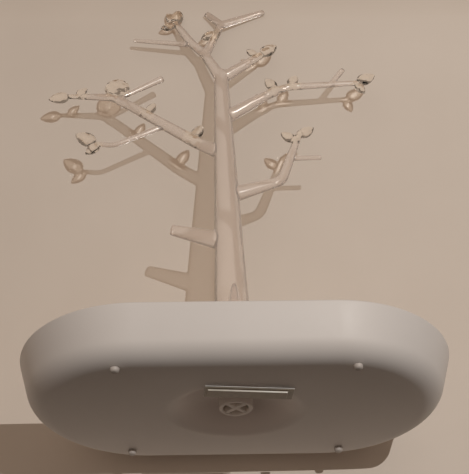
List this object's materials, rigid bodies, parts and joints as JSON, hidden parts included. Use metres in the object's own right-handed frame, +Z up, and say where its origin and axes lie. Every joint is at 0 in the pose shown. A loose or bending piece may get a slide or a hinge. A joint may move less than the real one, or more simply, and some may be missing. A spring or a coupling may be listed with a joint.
{
  "type": "jewelry tree",
  "caption": "Flat clear tree with drop-shaped leaves that plugs into an oval white tray, for hanging necklaces, earrings and rings.",
  "frame": {"origin": "middle of the whole object's footprint, on the surface that the feet stand on", "axes": "+Z up along the tree's trunk, +X along the tray to the right as seen from the front, +Y across the tray to the back"},
  "size_m": [0.2378, 0.1378, 0.3239],
  "materials": {
    "tray_plastic": "satin white",
    "clear_plastic": "clear, polished",
    "foot_rubber": "smooth, off-white",
    "label_film": "matt film",
    "label_plastic": "satin grey",
    "label_metal": "bright rolled strip"
  },
  "bodies": {
    "tray": {"tray": "tray_plastic", "foot_front_left": "foot_rubber", "foot_front_right": "foot_rubber", "foot_back_left": "foot_rubber", "foot_back_right": "foot_rubber", "label_backing": "label_film", "label_case": "label_plastic", "label_resonator": "label_metal", "label_bias_strip": "label_metal"},
    "tree": {"tree": "clear_plastic"}
  },
  "joints": [
    {"name": "tree_lift", "type": "slide", "parent": "tray", "child": "tree", "axis": [0, 0, 1], "range_m": [0, 0.018]}
  ]
}
